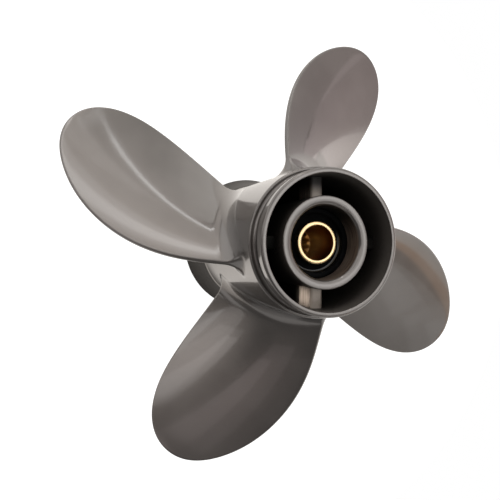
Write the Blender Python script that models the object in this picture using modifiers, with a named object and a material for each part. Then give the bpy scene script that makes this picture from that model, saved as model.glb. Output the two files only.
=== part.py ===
# Four-blade, right-hand outboard propeller with a through-hub exhaust.
# +Z runs along the shaft towards the rear, and the origin is on the axis at the front face,
# so the part stands on its front flange. Sizes are in metres.

import math

import bmesh
import bpy

MM = 0.001

# Driving sizes
TIP_RADIUS = 117.5 * MM
BLADE_COUNT = 4
FIRST_BLADE_ANGLE = math.radians(60)
HUB_LENGTH = 110 * MM
GAP = 0.3 * MM
RING_SEGMENTS = 64

# Outer shell of the hub: front flange, barrel and rear exhaust ring
FLANGE_RADIUS = 39.7 * MM
FLANGE_LENGTH = 21 * MM
# The flange flares like a trumpet: (inset from its edge, height above the front face) in mm
FLANGE_FLARE = [
    (5.4, 19.4), (4.8, 17.4), (3.6, 12.6), (2.2, 8.2), (0.8, 4.8), (0, 3.2), (0, 1.6), (1, 0),
]
FLANGE_MOUTH_RADIUS = 33 * MM
MOUTH_ROUND = 0.8 * MM
MOUTH_STRAIGHT = 8 * MM
MOUTH_TAPER = 0.4 * MM
MOUTH_DEPTH = 15 * MM
BARREL_FRONT_RADIUS = 33.5 * MM
BARREL_REAR_RADIUS = 32.5 * MM
MIDDLE_BARREL_RADIUS = (BARREL_FRONT_RADIUS + BARREL_REAR_RADIUS) / 2
SHELL_INNER_RADIUS = 28.7 * MM
SHOULDER_HEIGHT = 100 * MM
LIP_ROUND = 0.8 * MM
NECK_RADIUS = 29.7 * MM
NECK_COVE = 1.2 * MM
LAND_RADIUS = 31.1 * MM
LAND_THICKNESS = 0.3 * MM
EXHAUST_RIM_RADIUS = 31 * MM
RIM_FLARE = 0.5 * MM
RIM_FLARE_HEIGHT = 4 * MM
RIM_ROUND = 1 * MM
RIM_INNER_EDGE = 0.3 * MM

# Inner parts of the hub
TUBE_OUTER_RADIUS = 19.8 * MM
TUBE_INNER_RADIUS = 15.7 * MM
TUBE_FRONT = 8 * MM
TUBE_REAR = 105.3 * MM
TUBE_ROUND = 0.6 * MM
TUBE_CHAMFER = 0.8 * MM
TUBE_CHAMFER_DEPTH = 1.1 * MM
RIB_COUNT = 4
RIB_THICKNESS = 6 * MM
RIB_FRONT = 22 * MM
RIB_REAR = 96 * MM
BUSH_FRONT = 11 * MM
BUSH_REAR = 95.6 * MM
BUSH_RECESS_RADIUS = 12.9 * MM
BUSH_RECESS_DEPTH = 1.9 * MM
SLEEVE_OUTER_RADIUS = 9.3 * MM
SLEEVE_BORE_RADIUS = 7.75 * MM
SLEEVE_FRONT = 7 * MM
SLEEVE_REAR = 96.7 * MM
SLEEVE_CHAMFER = 0.3 * MM
SPLINE_COUNT = 14
SPLINE_MINOR_RADIUS = 6.6 * MM
SPLINE_MAJOR_RADIUS = 7.6 * MM
SPLINE_REAR = 73 * MM
SPLINE_LEAD_IN = 1 * MM
# A groove's foot and outer edge, as shares of one spline's turn
GROOVE_FOOT = 0.06
GROOVE_EDGE = 0.18
GROOVE_WIDTH = 0.24

# Blade: one cubic curve runs along the trailing edge, round the tip and back along the
# leading edge. Each point is (radius, arc length from the blade's middle line).
BLADE_OUTLINE = [
    (28.7, 26.9), (26.9, 23.4), (59.2, 41.0), (90.1, 40.9), (111.3, 25.8),
    (122.5, 2.1), (101.2, -27.3), (34.7, -10.1), (28.7, -12.0),
]
MIDDLE_HEIGHT = 54.5 * MM
MIDDLE_RADIUS = 28.74 * MM
FORWARD_RAKE = 0.1135
RAKE_CURVE = 0.00065 / MM
PITCH_AT_MIDDLE = 262.4 * MM
PITCH_FALL = 0.143
ROOT_THICKNESS = 7.5 * MM
TIP_THICKNESS = 2.2 * MM
THICKNESS_POWER = 1.3
THIN_CHORD = 18 * MM
REAR_FACE_CROWN = 0.15
ROOT_EDGE = 1.3 * MM
TIP_EDGE = 0.75 * MM
ROOT_FILLET = 7 * MM
NOSE_FILLET_SHARE = 0.4
FILLET_HEIGHTS = [0.35 * MM, 1.2 * MM, 2.6 * MM, 4.6 * MM, 7 * MM]
SPAN_STATIONS = 13
TIP_MARGIN = 0.25 * MM
SIDE_POINTS = 10
EDGE_ANGLES = [50, 0, -50]
ROOT_ROWS = 4

PAINT = ("warm_grey_paint", (0.235, 0.22, 0.205, 1), 0.28, 0.6)
BRASS = ("brass", (0.78, 0.5, 0.2, 1), 0.25, 1.0)
RUBBER = ("black_rubber", (0.018, 0.018, 0.02, 1), 0.45, 0.0)


def clear_scene():
    for obj in list(bpy.data.objects):
        bpy.data.objects.remove(obj, do_unlink=True)


def new_collection(name):
    collection = bpy.data.collections.new(name)
    bpy.context.scene.collection.children.link(collection)
    return collection


def material_for(node, finish):
    name, colour, roughness, metallic = finish
    material = bpy.data.materials.new(node + "_" + name)
    material.use_nodes = True
    shader = material.node_tree.nodes["Principled BSDF"]
    shader.inputs["Base Color"].default_value = colour
    shader.inputs["Roughness"].default_value = roughness
    shader.inputs["Metallic"].default_value = metallic
    return material


def new_object(name, bm, finish, collection):
    mesh = bpy.data.meshes.new(name)
    bm.to_mesh(mesh)
    bm.free()
    obj = bpy.data.objects.new(name, mesh)
    obj.data.materials.append(material_for(name, finish))
    collection.objects.link(obj)
    return obj


def arc(centre, radius, start, end, steps):
    """Points on a round corner of a profile, angles in degrees from the outward direction."""
    points = []
    for i in range(steps + 1):
        angle = math.radians(start + (end - start) * i / steps)
        points.append((centre[0] + radius * math.cos(angle), centre[1] + radius * math.sin(angle)))
    return points


def turned(name, profile, finish, collection):
    """A ring turned round Z. The profile goes down its outer side and up its inner side."""
    bm = bmesh.new()
    points = [bm.verts.new((radius, 0, height)) for radius, height in profile]
    for i, point in enumerate(points):
        bm.edges.new((point, points[(i + 1) % len(points)]))
    obj = new_object(name, bm, finish, collection)
    screw = obj.modifiers.new("turn", "SCREW")
    screw.axis = "Z"
    screw.steps = RING_SEGMENTS
    screw.render_steps = RING_SEGMENTS
    screw.use_merge_vertices = True
    screw.merge_threshold = 0.01 * MM
    screw.use_smooth_shade = True
    return obj


def barrel_radius(height):
    """The barrel tapers a little from the flange to the rear shoulder."""
    share = (height - FLANGE_LENGTH) / (SHOULDER_HEIGHT - FLANGE_LENGTH)
    return BARREL_FRONT_RADIUS + share * (BARREL_REAR_RADIUS - BARREL_FRONT_RADIUS)


def make_front_flange(collection):
    profile = [(BARREL_FRONT_RADIUS, FLANGE_LENGTH)]
    profile += [(FLANGE_RADIUS - inset * MM, height * MM) for inset, height in FLANGE_FLARE]
    profile += [
        (FLANGE_MOUTH_RADIUS + MOUTH_ROUND, 0),
        (FLANGE_MOUTH_RADIUS, MOUTH_ROUND),
        (FLANGE_MOUTH_RADIUS - MOUTH_TAPER, MOUTH_STRAIGHT),
        (SHELL_INNER_RADIUS, MOUTH_DEPTH),
        (SHELL_INNER_RADIUS, FLANGE_LENGTH),
    ]
    return turned("front_flange", profile, PAINT, collection)


def make_hub_barrel(collection):
    corner = (BARREL_REAR_RADIUS - LIP_ROUND, SHOULDER_HEIGHT - LIP_ROUND)
    profile = arc(corner, LIP_ROUND, 90, 0, 3)
    profile += [
        (BARREL_FRONT_RADIUS, FLANGE_LENGTH + GAP),
        (SHELL_INNER_RADIUS, FLANGE_LENGTH + GAP),
        (SHELL_INNER_RADIUS, SHOULDER_HEIGHT),
    ]
    return turned("hub_barrel", profile, PAINT, collection)


def make_exhaust_ring(collection):
    bottom = SHOULDER_HEIGHT + GAP
    cove_middle = NECK_RADIUS + NECK_COVE / 2
    corner = (EXHAUST_RIM_RADIUS - RIM_ROUND, HUB_LENGTH - RIM_ROUND)
    profile = arc(corner, RIM_ROUND, 90, 0, 3)
    profile += [
        (EXHAUST_RIM_RADIUS - RIM_FLARE, HUB_LENGTH - RIM_FLARE_HEIGHT),
        (NECK_RADIUS, bottom + NECK_COVE),
        (cove_middle, bottom + NECK_COVE / 2),
        (LAND_RADIUS, bottom + LAND_THICKNESS),
        (LAND_RADIUS, bottom),
        (SHELL_INNER_RADIUS, bottom),
        (SHELL_INNER_RADIUS, HUB_LENGTH - RIM_INNER_EDGE),
        (SHELL_INNER_RADIUS + RIM_INNER_EDGE, HUB_LENGTH),
    ]
    return turned("exhaust_ring", profile, PAINT, collection)


def make_inner_tube(collection):
    """The tube that carries the rubber bush, with a chamfer in each mouth."""
    corner = (TUBE_OUTER_RADIUS - TUBE_ROUND, TUBE_REAR - TUBE_ROUND)
    profile = arc(corner, TUBE_ROUND, 90, 0, 2)
    profile += [
        (TUBE_OUTER_RADIUS, TUBE_FRONT),
        (TUBE_INNER_RADIUS + TUBE_CHAMFER, TUBE_FRONT),
        (TUBE_INNER_RADIUS, TUBE_FRONT + TUBE_CHAMFER_DEPTH),
        (TUBE_INNER_RADIUS, TUBE_REAR - TUBE_CHAMFER_DEPTH),
        (TUBE_INNER_RADIUS + TUBE_CHAMFER, TUBE_REAR),
    ]
    return turned("inner_tube", profile, PAINT, collection)


def make_rib(number, collection):
    """A flat web from the inner tube to the shell, in one quarter of the exhaust passage."""
    half = RIB_THICKNESS / 2
    inner = TUBE_OUTER_RADIUS + GAP
    outer = math.sqrt((SHELL_INNER_RADIUS - GAP) ** 2 - half ** 2)
    bm = bmesh.new()
    bmesh.ops.create_cube(bm, size=1)
    bmesh.ops.scale(bm, vec=(outer - inner, RIB_THICKNESS, RIB_REAR - RIB_FRONT), verts=bm.verts)
    bmesh.ops.translate(bm, vec=((outer + inner) / 2, 0, (RIB_REAR + RIB_FRONT) / 2), verts=bm.verts)
    rib = new_object("rib_" + str(number), bm, PAINT, collection)
    rib.rotation_euler.z = 2 * math.pi * number / RIB_COUNT
    return rib


def make_rubber_bush(collection):
    outer = TUBE_INNER_RADIUS - GAP
    inner = SLEEVE_OUTER_RADIUS + GAP
    recess = BUSH_REAR - BUSH_RECESS_DEPTH
    profile = [
        (outer, BUSH_REAR),
        (outer, BUSH_FRONT),
        (inner, BUSH_FRONT),
        (inner, recess),
        (BUSH_RECESS_RADIUS, recess),
        (BUSH_RECESS_RADIUS, BUSH_REAR),
    ]
    return turned("rubber_bush", profile, RUBBER, collection)


def make_spline_cutter(cutters):
    """A long gear shape, whose teeth cut the grooves between the splines."""
    curve = bpy.data.curves.new("spline_cutter", "CURVE")
    curve.dimensions = "2D"
    curve.fill_mode = "BOTH"
    curve.extrude = (SPLINE_REAR - SLEEVE_FRONT) / 2
    outline = curve.splines.new("POLY")
    low = 2 * SPLINE_MINOR_RADIUS - SPLINE_MAJOR_RADIUS
    far_edge = GROOVE_EDGE + GROOVE_WIDTH
    far_foot = far_edge + GROOVE_EDGE - GROOVE_FOOT
    shape = [
        (low, GROOVE_FOOT),
        (SPLINE_MAJOR_RADIUS, GROOVE_EDGE),
        (SPLINE_MAJOR_RADIUS, far_edge),
        (low, far_foot),
    ]
    outline.points.add(SPLINE_COUNT * len(shape) - 1)
    outline.use_cyclic_u = True
    for tooth in range(SPLINE_COUNT):
        for i, (radius, share) in enumerate(shape):
            angle = 2 * math.pi * (tooth + share) / SPLINE_COUNT
            point = outline.points[tooth * len(shape) + i]
            point.co = (radius * math.cos(angle), radius * math.sin(angle), 0, 1)
    guide = bpy.data.objects.new("spline_cutter_outline", curve)
    cutters.objects.link(guide)
    graph = bpy.context.evaluated_depsgraph_get()
    mesh = bpy.data.meshes.new_from_object(guide.evaluated_get(graph))
    bm = bmesh.new()
    bm.from_mesh(mesh)
    bmesh.ops.remove_doubles(bm, verts=bm.verts, dist=0.001 * MM)
    bmesh.ops.recalc_face_normals(bm, faces=bm.faces)
    bm.to_mesh(mesh)
    bm.free()
    bpy.data.objects.remove(guide, do_unlink=True)
    cutter = bpy.data.objects.new("spline_cutter", mesh)
    cutter.location.z = (SPLINE_REAR + SLEEVE_FRONT) / 2
    cutter.hide_render = True
    cutter.display_type = "WIRE"
    cutters.objects.link(cutter)
    return cutter


def make_spline_sleeve(collection, cutters):
    """A brass sleeve: a plain counterbore at the rear, and driving splines further in."""
    profile = [
        (SLEEVE_OUTER_RADIUS - SLEEVE_CHAMFER, SLEEVE_REAR),
        (SLEEVE_OUTER_RADIUS, SLEEVE_REAR - SLEEVE_CHAMFER),
        (SLEEVE_OUTER_RADIUS, SLEEVE_FRONT),
        (SPLINE_MINOR_RADIUS, SLEEVE_FRONT),
        (SPLINE_MINOR_RADIUS, SPLINE_REAR - SPLINE_LEAD_IN),
        (SLEEVE_BORE_RADIUS, SPLINE_REAR),
        (SLEEVE_BORE_RADIUS, SLEEVE_REAR),
    ]
    sleeve = turned("spline_sleeve", profile, BRASS, collection)
    cut = sleeve.modifiers.new("spline_grooves", "BOOLEAN")
    cut.operation = "DIFFERENCE"
    cut.object = make_spline_cutter(cutters)
    return sleeve


def cubic_curve(share):
    """A point of the blade's outline, as (radius, arc length), at a share of its way round."""
    last = len(BLADE_OUTLINE) - 1
    spans = last - 2
    knots = [0] * 4 + list(range(1, spans)) + [spans] * 4
    at = min(max(share, 0), 1) * spans
    span = min(int(at), spans - 1) + 3
    points = [BLADE_OUTLINE[span - 3 + i] for i in range(4)]
    for level in range(1, 4):
        for i in range(3, level - 1, -1):
            low = knots[span - 3 + i]
            high = knots[span + 1 + i - level]
            mix = (at - low) / (high - low)
            points[i] = (
                points[i - 1][0] * (1 - mix) + points[i][0] * mix,
                points[i - 1][1] * (1 - mix) + points[i][1] * mix,
            )
    return points[3][0] * MM, points[3][1] * MM


def tip_share():
    """Where the outline is furthest from the axis."""
    low, high = 0.4, 0.95
    for _ in range(50):
        third = (high - low) / 3
        if cubic_curve(low + third)[0] < cubic_curve(high - third)[0]:
            low += third
        else:
            high -= third
    return low


def edge_length(radius, near, far):
    """Arc length of the outline at a radius, between an inner share and the tip's share."""
    for _ in range(40):
        middle = (near + far) / 2
        if cubic_curve(middle)[0] < radius:
            near = middle
        else:
            far = middle
    return cubic_curve(near)[1]


def pitch_at(radius):
    return PITCH_AT_MIDDLE - PITCH_FALL * (radius - MIDDLE_RADIUS)


def blade_height(radius, angle):
    """Height of the blade's pitch surface: a helix with a slight forward rake."""
    out = radius - MIDDLE_RADIUS
    rake = RAKE_CURVE * out ** 2 - FORWARD_RAKE * out
    return MIDDLE_HEIGHT + rake + pitch_at(radius) * angle / (2 * math.pi)


def section_points(chord, edge, thickness, fillet):
    """One blade section: (along, across) points, from the leading nose over the rear face
    to the trailing nose, and back over the front face."""
    flat = chord / 2 - edge
    side = edge + fillet
    rear, front = [], []
    for i in range(SIDE_POINTS):
        along = (2 * i / (SIDE_POINTS - 1) - 1) * flat
        crown = max(1 - (along / flat) ** 2, 0) * (thickness - 2 * edge)
        rear.append((along, side + REAR_FACE_CROWN * crown))
        front.append((along, -side - (1 - REAR_FACE_CROWN) * crown))
    nose = edge + NOSE_FILLET_SHARE * fillet
    trailing, leading = [], []
    for angle in EDGE_ANGLES:
        turn = math.radians(angle)
        trailing.append((flat + nose * math.cos(turn), side * math.sin(turn)))
        leading.append((-flat - nose * math.cos(turn), side * math.sin(turn)))
    return rear + trailing + front[::-1] + leading[::-1]


def blade_stations():
    """(radius, fillet size) of each section, from the barrel to the tip."""
    stations = []
    for height in FILLET_HEIGHTS:
        fillet = ROOT_FILLET - math.sqrt(ROOT_FILLET ** 2 - (ROOT_FILLET - height) ** 2)
        stations.append((MIDDLE_BARREL_RADIUS + height, fillet))
    start = stations[-1][0]
    end = cubic_curve(tip_share())[0] - TIP_MARGIN
    for i in range(1, SPAN_STATIONS + 1):
        share = math.sin(math.pi / 2 * i / SPAN_STATIONS)
        stations.append((start + (end - start) * share, 0))
    return stations


def place(radius, base_angle, along, across, middle_arc, chord_angle):
    """A point of a section, set on the cylinder of its radius. Near the root, the cylinder
    takes on the barrel's taper."""
    arc_length = middle_arc + along * math.cos(chord_angle) - across * math.sin(chord_angle)
    angle = base_angle + arc_length / radius
    rise = along * math.sin(chord_angle) + across * math.cos(chord_angle)
    height = blade_height(radius, middle_arc / radius) + rise
    taper = barrel_radius(height) - MIDDLE_BARREL_RADIUS
    taper_share = 1 - (radius - MIDDLE_BARREL_RADIUS - FILLET_HEIGHTS[0]) / (2 * ROOT_FILLET)
    fitted = radius + taper * max(0, taper_share)
    return (fitted * math.cos(angle), fitted * math.sin(angle), height)


def section_ring(radius, fillet, base_angle, tip):
    trailing = edge_length(radius, 0, tip)
    leading = edge_length(radius, 1, tip)
    span = (radius - BARREL_REAR_RADIUS) / (TIP_RADIUS - BARREL_REAR_RADIUS)
    edge = ROOT_EDGE + (TIP_EDGE - ROOT_EDGE) * span
    thickness = TIP_THICKNESS + (ROOT_THICKNESS - TIP_THICKNESS) * (1 - span) ** THICKNESS_POWER
    chord_angle = math.atan(pitch_at(radius) / (2 * math.pi * radius))
    chord = (trailing - leading) / math.cos(chord_angle)
    thickness = max(2 * edge, thickness * min(1, chord / THIN_CHORD))
    middle_arc = (trailing + leading) / 2
    ring = []
    for along, across in section_points(chord, edge, thickness, fillet):
        ring.append(place(radius, base_angle, along, across, middle_arc, chord_angle))
    return ring


def rung_pairs():
    """Indices of the ring's points that face each other across the blade."""
    sides = SIDE_POINTS + len(EDGE_ANGLES)
    pairs = [(i, 2 * SIDE_POINTS + len(EDGE_ANGLES) - 1 - i) for i in range(SIDE_POINTS)]
    trailing_pair = (SIDE_POINTS, SIDE_POINTS + len(EDGE_ANGLES) - 1)
    leading_pair = (2 * sides - 1, 2 * SIDE_POINTS + len(EDGE_ANGLES))
    return [leading_pair] + pairs + [trailing_pair], 2 * sides - 2, SIDE_POINTS + 1


def cap_rows(bm, ring, rows):
    """Closes a ring across the blade, with rows of points that follow the barrel's curve."""
    pairs, leading_nose, trailing_nose = rung_pairs()
    ladder = []
    for rear, front in pairs:
        rung = [ring[rear]]
        for i in range(1, rows):
            share = i / rows
            mixed = ring[rear].co.lerp(ring[front].co, share)
            radius = math.hypot(*ring[rear].co.xy) * (1 - share) + math.hypot(*ring[front].co.xy) * share
            mixed.xy *= radius / math.hypot(*mixed.xy)
            rung.append(bm.verts.new(mixed))
        rung.append(ring[front])
        ladder.append(rung)
    for first, second in zip(ladder, ladder[1:]):
        for i in range(rows):
            bm.faces.new((first[i], second[i], second[i + 1], first[i + 1]))
    for i in range(rows):
        bm.faces.new((ring[leading_nose], ladder[0][i], ladder[0][i + 1]))
        bm.faces.new((ladder[-1][i], ring[trailing_nose], ladder[-1][i + 1]))


def make_blade(number, collection):
    """A loft of curved sections, with a fillet that spreads onto the barrel at its root."""
    tip = tip_share()
    bm = bmesh.new()
    rings = []
    base_angle = FIRST_BLADE_ANGLE + 2 * math.pi * (number - 1) / BLADE_COUNT
    for radius, fillet in blade_stations():
        ring = section_ring(radius, fillet, base_angle, tip)
        rings.append([bm.verts.new(point) for point in ring])
    for inner, outer in zip(rings, rings[1:]):
        for i in range(len(inner)):
            following = (i + 1) % len(inner)
            bm.faces.new((inner[i], inner[following], outer[following], outer[i]))
    cap_rows(bm, rings[0], ROOT_ROWS)
    cap_rows(bm, rings[-1], 1)
    bmesh.ops.recalc_face_normals(bm, faces=bm.faces)
    for face in bm.faces:
        face.smooth = True
    return new_object("blade_" + str(number), bm, PAINT, collection)


def main():
    clear_scene()
    propeller = new_collection("outboard_propeller")
    cutters = new_collection("cutters")
    make_front_flange(propeller)
    make_hub_barrel(propeller)
    make_exhaust_ring(propeller)
    make_inner_tube(propeller)
    for number in range(1, RIB_COUNT + 1):
        make_rib(number, propeller)
    make_rubber_bush(propeller)
    make_spline_sleeve(propeller, cutters)
    for number in range(1, BLADE_COUNT + 1):
        make_blade(number, propeller)


main()
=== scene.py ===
import math

import bmesh
import bpy
from mathutils import Euler, Matrix, Vector
from mathutils.geometry import intersect_point_line
from mathutils.kdtree import KDTree


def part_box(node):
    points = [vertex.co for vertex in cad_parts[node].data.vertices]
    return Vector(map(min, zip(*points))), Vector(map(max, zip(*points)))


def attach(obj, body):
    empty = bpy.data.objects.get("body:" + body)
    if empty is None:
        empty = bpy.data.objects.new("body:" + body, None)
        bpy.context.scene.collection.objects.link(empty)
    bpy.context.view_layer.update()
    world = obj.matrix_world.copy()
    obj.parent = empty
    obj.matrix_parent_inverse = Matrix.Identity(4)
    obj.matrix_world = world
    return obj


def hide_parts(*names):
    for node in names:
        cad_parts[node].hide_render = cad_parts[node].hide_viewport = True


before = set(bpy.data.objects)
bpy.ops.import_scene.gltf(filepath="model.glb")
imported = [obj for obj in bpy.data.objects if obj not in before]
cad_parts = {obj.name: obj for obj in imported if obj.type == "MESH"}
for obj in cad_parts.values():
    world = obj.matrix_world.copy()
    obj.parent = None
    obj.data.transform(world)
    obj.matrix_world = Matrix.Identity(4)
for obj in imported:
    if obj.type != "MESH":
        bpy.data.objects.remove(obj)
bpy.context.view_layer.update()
mm = 0.001
weld = 0.001  # points this near are one, in millimetres
sharpAngle = 38
print("frame loaded:", len(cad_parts), "nodes")


# sizes that the frame already knows, in millimetres

def radiusOf(node):
    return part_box(node)[1].x / mm


def heightsOf(node):
    low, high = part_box(node)
    return low.z / mm, high.z / mm


flangeRadius = radiusOf("front_flange")
flangeTop = heightsOf("front_flange")[1]
barrelRadius = radiusOf("hub_barrel")
lipHeight = heightsOf("hub_barrel")[1]
rimHeight = heightsOf("exhaust_ring")[1]
tubeRadius = radiusOf("inner_tube")
tubeFront, tubeRear = heightsOf("inner_tube")
ribFront, ribRear = heightsOf("rib_1")
ribThickness = 2 * radiusOf("rib_1")
bushFront, bushRear = heightsOf("rubber_bush")
sleeveRadius = radiusOf("spline_sleeve")
sleeveFront, sleeveRear = heightsOf("spline_sleeve")


# small helpers

def inOneOrder(bm):
    # the same order of points, edges and faces in each run, which spin and extrude don't keep
    for i, point in enumerate(sorted(bm.verts, key=lambda v: v.co[:])):
        point.index = i
    bm.verts.sort()
    for elements in (bm.edges, bm.faces):
        for i, element in enumerate(sorted(elements, key=lambda e: sorted(v.index for v in e.verts))):
            element.index = i
        elements.sort()


def placed(bm, name, slotName, *nodes):
    # a finished piece: smooth, riding on the root body
    inOneOrder(bm)
    for face in bm.faces:
        face.smooth = True
    mesh = bpy.data.meshes.new(name)
    bm.to_mesh(mesh)
    bm.free()
    mesh.set_sharp_from_angle(angle=math.radians(sharpAngle))
    piece = bpy.data.objects.new(name, mesh)
    bpy.context.scene.collection.objects.link(piece)
    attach(piece, "root")
    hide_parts(*nodes)
    print(name, "made:", len(mesh.polygons), "faces")
    return piece


def arcPoints(centre, radius, start, end, steps=8):
    # a round stretch of a profile, angles in degrees from the outward direction
    points = []
    for i in range(steps + 1):
        turn = math.radians(start + (end - start) * i / steps)
        points.append((centre[0] + radius * math.cos(turn), centre[1] + radius * math.sin(turn)))
    return points


def smoothRun(knots, steps=8):
    # a smooth stretch of a profile through a few points
    ends = [knots[0]] + knots + [knots[-1]]
    points = []
    for before, a, b, after in zip(ends, ends[1:], ends[2:], ends[3:]):
        for i in range(steps):
            t = i / steps
            point = []
            for p0, p1, p2, p3 in zip(before, a, b, after):
                bend = (2 * p0 - 5 * p1 + 4 * p2 - p3) * t ** 2 + (3 * p1 - p0 - 3 * p2 + p3) * t ** 3
                point.append(p1 + ((p2 - p0) * t + bend) / 2)
            points.append(tuple(point))
    return points + [knots[-1]]


def turned(bm, profile, steps):
    # spins a closed profile of (radius, height) round the shaft
    points = [bm.verts.new((radius * mm, 0, height * mm)) for radius, height in profile]
    edges = [bm.edges.new(pair) for pair in zip(points, points[1:] + points[:1])]
    bmesh.ops.spin(bm, geom=points + edges, cent=(0, 0, 0), axis=(0, 0, 1), angle=2 * math.pi,
                   steps=steps, use_merge=True)
    bmesh.ops.remove_doubles(bm, verts=bm.verts, dist=weld * mm)
    bmesh.ops.recalc_face_normals(bm, faces=bm.faces)


# hub shell: flange, barrel, lip, groove and flared ring in one skin

hubShell = {
    "steps": 320,
    "inside": 28.7,
    "lipRadius": 32.7,
    "lipRound": 0.8,
    "lipInner": 31.5,
    "lipInnerRound": 0.15,
    "neck": 29.7,
    "groove": 1.3,
    "grooveDrop": 0.3,
    "rim": 31,
    "rimRound": 1,
    "collar": 5,
    "collarRound": 0.45,
    "rimEdge": 0.3,
    "barrelFoot": 0.6,
    "flangeFlare": [(5.9, 20.6), (5.4, 19.4), (4.8, 17.4), (3.6, 12.6), (2.2, 8.2), (0.8, 4.8), (0.15, 3.4)],
    "flangeEdge": 0.8,
    "flangeEdgeTop": 2.6,
    "mouth": 33,
    "mouthDraft": 0.4,
    "mouthStraight": 8,
    "mouthCurve": [(0.6, 8.5), (2.4, 11.5), (4.3, 15.5)],
}


def makeHubShell():
    s = hubShell
    rimCentre = (s["rim"] - s["rimRound"], rimHeight - s["rimRound"])
    grooveFloor = lipHeight - s["grooveDrop"]
    collarEnd = rimHeight - s["collar"]
    profile = arcPoints(rimCentre, s["rimRound"], 90, 0, 10)
    soft = s["collarRound"]
    profile += arcPoints((s["rim"] - soft, collarEnd + soft), soft, 0, -90, 6)
    profile += arcPoints((s["neck"] + soft, collarEnd - soft), soft, 90, 180, 6)
    profile += arcPoints((s["neck"] + s["groove"], grooveFloor + s["groove"]), s["groove"], 180, 270, 8)
    soft = s["lipInnerRound"]
    profile += arcPoints((s["lipInner"] + soft, lipHeight - soft), soft, 180, 90, 4)
    soft = s["lipRound"]
    profile += arcPoints((s["lipRadius"] - soft, lipHeight - soft), soft, 90, 3, 10)
    profile += [(barrelRadius, flangeTop + s["barrelFoot"])]
    profile += smoothRun([(flangeRadius - inset, height) for inset, height in s["flangeFlare"]], 5)
    edge = s["flangeEdge"]
    profile += arcPoints((flangeRadius - edge, s["flangeEdgeTop"]), edge, 20, 0, 3)
    profile += arcPoints((flangeRadius - edge, edge), edge, 0, -90, 6)
    profile += arcPoints((s["mouth"] + edge, edge), edge, 270, 180, 6)
    profile += [(s["mouth"] - s["mouthDraft"], s["mouthStraight"])]
    profile += smoothRun([(s["mouth"] - inset, height) for inset, height in s["mouthCurve"]])
    profile += [(s["inside"], rimHeight - 2 * s["rimEdge"])]
    profile += arcPoints((s["inside"] + s["rimEdge"], rimHeight - s["rimEdge"]), s["rimEdge"], 180, 90, 4)
    bm = bmesh.new()
    turned(bm, profile, s["steps"])
    return placed(bm, "hubShell", "paint", "front_flange", "hub_barrel", "exhaust_ring")


# inner tube, which carries the bush

tube = {"steps": 224, "bore": 15.7, "round": 0.5, "chamfer": 0.8, "chamferDepth": 1.1, "chamferStart": 0.06,
        "soft": 0.2}


def makeTube():
    s = tube
    profile = arcPoints((tubeRadius - s["round"], tubeRear - s["round"]), s["round"], 90, 0, 8)
    profile += arcPoints((tubeRadius - s["round"], tubeFront + s["round"]), s["round"], 0, -90, 6)
    bore, mouth, soft = s["bore"], s["bore"] + s["chamfer"], s["soft"]
    profile += [
        (mouth + soft, tubeFront),
        (mouth, tubeFront + soft / 2),
        (bore, tubeFront + s["chamferDepth"]),
        (bore, tubeRear - s["chamferDepth"] - soft),
        (bore + s["chamferStart"], tubeRear - s["chamferDepth"]),
        (mouth, tubeRear - soft / 2),
        (mouth + soft, tubeRear),
    ]
    bm = bmesh.new()
    turned(bm, profile, s["steps"])
    return placed(bm, "innerTube", "paint", "inner_tube")


# ribs: flat webs with round ends, sunk into the tube and the shell

rib = {"sink": 0.4, "endRound": 1.4, "roundSteps": 6}


def makeRib(number):
    s = rib
    near, far = tubeRadius - s["sink"], hubShell["inside"] + s["sink"]
    middle = ((near + far) / 2 * mm, 0, (ribFront + ribRear) / 2 * mm)
    bm = bmesh.new()
    points = bmesh.ops.create_cube(bm, size=1)["verts"]
    bmesh.ops.scale(bm, vec=((far - near) * mm, ribThickness * mm, (ribRear - ribFront) * mm), verts=points)
    bmesh.ops.translate(bm, vec=middle, verts=points)
    ends = [e for e in bm.edges if abs(e.verts[0].co.x - e.verts[1].co.x) > mm]
    bmesh.ops.bevel(bm, geom=ends, offset=s["endRound"] * mm, segments=s["roundSteps"], profile=0.5,
                    affect="EDGES", material=-1, clamp_overlap=True)
    bmesh.ops.rotate(bm, cent=(0, 0, 0), matrix=Matrix.Rotation(math.pi / 2 * number, 3, "Z"), verts=bm.verts)
    return placed(bm, "rib" + str(number), "paint", "rib_" + str(number))


# rubber bush with a round recess in its rear face

bush = {"steps": 160, "outside": 15.68, "sleeveGap": 0.02, "recess": 13.2, "depth": 3, "soft": 1.1}


def makeBush():
    s = bush
    soft = s["soft"]
    outer, inner = s["outside"], sleeveRadius + s["sleeveGap"]
    floor = bushRear - s["depth"]
    profile = [(outer, bushRear - soft / 2), (outer, bushFront), (inner, bushFront), (inner, floor)]
    profile += arcPoints((s["recess"] - soft, floor + soft), soft, 270, 360, 6)
    profile += arcPoints((s["recess"] + soft, bushRear - soft), soft, 180, 90, 6)
    profile += arcPoints((outer - soft, bushRear - soft), soft, 90, 45, 4)
    bm = bmesh.new()
    turned(bm, profile, s["steps"])
    return placed(bm, "rubberBush", "rubber", "rubber_bush")


# brass sleeve: one ring of points, extruded from station to station

sleeve = {
    "splines": 14,
    "pointsPerSpline": 16,
    "minor": 6.6,
    "major": 7.6,
    "counterbore": 7.75,
    "grooveHalf": 0.2,
    "flank": 0.08,
    "splineEnd": 73,
    "leadIn": 0.9,
    "step": 0.1,
    "lead": 0.12,
    "chamfer": 0.3,
}


def splineShare(turn):
    # 1 on a spline's crest and 0 in the groove between two, with sloping flanks
    place = (turn * sleeve["splines"]) % 1
    return min(max((abs(place - 0.5) - sleeve["grooveHalf"]) / sleeve["flank"], 0), 1)


def ringStation(bm, ring, height, radius, crest=None):
    count = len(ring)
    for i, point in enumerate(ring):
        share = splineShare(i / count) if crest else 0
        wide = radius + (crest - radius) * share if crest else radius
        turn = 2 * math.pi * i / count
        point.co = (wide * mm * math.cos(turn), wide * mm * math.sin(turn), height * mm)


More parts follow.
